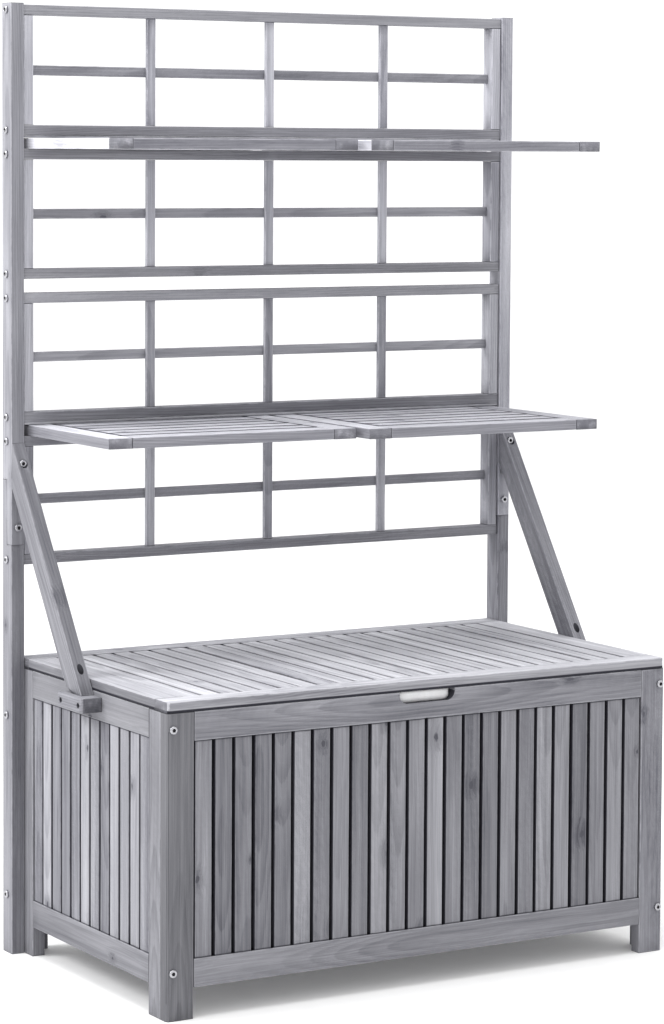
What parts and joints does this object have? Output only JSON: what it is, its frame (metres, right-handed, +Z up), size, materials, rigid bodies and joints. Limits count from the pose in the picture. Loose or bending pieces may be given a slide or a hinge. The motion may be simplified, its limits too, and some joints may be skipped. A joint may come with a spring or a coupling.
{
  "type": "potting bench",
  "caption": "Slatted wooden storage box with a hinged lid for a worktop, backed by posts with raking braces that carry trellis panels and sliding slatted shelves.",
  "frame": {"origin": "on the floor, under the middle of the whole bench's box", "axes": "+X to the right, +Y from the box's front to the trellis at the back, +Z up the posts"},
  "size_m": [1.08, 0.624, 1.68],
  "materials": {
    "box_wood": "grey-washed planed softwood, matt",
    "lid_wood": "grey-washed planed softwood, matt, slightly bleached",
    "frame_wood": "grey-washed planed softwood, matt",
    "shelf_wood": "grey-washed planed softwood, matt",
    "galvanised_fasteners": "galvanised, hexagon socket heads",
    "hinge_steel": "galvanised sheet, slightly dull",
    "liner_fabric": "pale non-woven fabric, matt"
  },
  "bodies": {
    "bench": {"back_bottom_rail": "box_wood", "back_left_stile": "box_wood", "back_right_stile": "box_wood", "back_slats": "box_wood", "back_top_rail": "box_wood", "bolts": "galvanised_fasteners", "box_liner": "liner_fabric", "floor_bearers": "box_wood", "floor_boards": "box_wood", "front_bottom_rail": "box_wood", "front_left_stile": "box_wood", "front_right_stile": "box_wood", "front_slats": "box_wood", "front_top_rail": "box_wood", "hinge_fixed_leaves": "hinge_steel", "hinge_pins": "hinge_steel", "left_brace": "frame_wood", "left_foot_block": "frame_wood", "left_front_side_stile": "box_wood", "left_lower_post": "frame_wood", "left_rear_side_stile": "box_wood", "left_side_bottom_rail": "box_wood", "left_side_slats": "box_wood", "left_side_top_rail": "box_wood", "left_upper_post": "frame_wood", "lower_trellis_crossbars": "frame_wood", "lower_trellis_rails": "frame_wood", "lower_trellis_stiles": "frame_wood", "lower_trellis_uprights": "frame_wood", "right_brace": "frame_wood", "right_foot_block": "frame_wood", "right_front_side_stile": "box_wood", "right_lower_post": "frame_wood", "right_rear_side_stile": "box_wood", "right_side_bottom_rail": "box_wood", "right_side_slats": "box_wood", "right_side_top_rail": "box_wood", "right_upper_post": "frame_wood", "screws": "galvanised_fasteners", "shelf_guide_strips": "frame_wood", "upper_trellis_crossbars": "frame_wood", "upper_trellis_rails": "frame_wood", "upper_trellis_stiles": "frame_wood", "upper_trellis_uprights": "frame_wood"},
    "lid": {"hinge_moving_leaves": "hinge_steel", "lid_back_rail": "lid_wood", "lid_battens": "lid_wood", "lid_front_rail": "lid_wood", "lid_hinge_screws": "galvanised_fasteners", "lid_left_stile": "lid_wood", "lid_right_stile": "lid_wood", "lid_slats": "lid_wood"},
    "upper_left_shelf": {"upper_left_shelf_frame": "shelf_wood", "upper_left_shelf_slats": "shelf_wood"},
    "upper_right_shelf": {"upper_right_shelf_frame": "shelf_wood", "upper_right_shelf_slats": "shelf_wood"},
    "lower_left_shelf": {"lower_left_shelf_frame": "shelf_wood", "lower_left_shelf_slats": "shelf_wood"},
    "lower_right_shelf": {"lower_right_shelf_frame": "shelf_wood", "lower_right_shelf_slats": "shelf_wood"}
  },
  "joints": [
    {"name": "lid_hinge", "type": "hinge", "parent": "bench", "child": "lid", "pos_m": [0, 0.2693, 0.5095], "axis": [-1, 0, 0], "range_deg": [0, 45]},
    {"name": "upper_left_shelf_slide", "type": "slide", "parent": "bench", "child": "upper_left_shelf", "axis": [0, 1, 0], "range_m": [-0.027, 0.075]},
    {"name": "upper_right_shelf_slide", "type": "slide", "parent": "bench", "child": "upper_right_shelf", "axis": [0, 1, 0], "range_m": [0, 0.102]},
    {"name": "lower_left_shelf_slide", "type": "slide", "parent": "bench", "child": "lower_left_shelf", "axis": [0, 1, 0], "range_m": [-0.027, 0.075]},
    {"name": "lower_right_shelf_slide", "type": "slide", "parent": "bench", "child": "lower_right_shelf", "axis": [0, 1, 0], "range_m": [0, 0.102]}
  ]
}
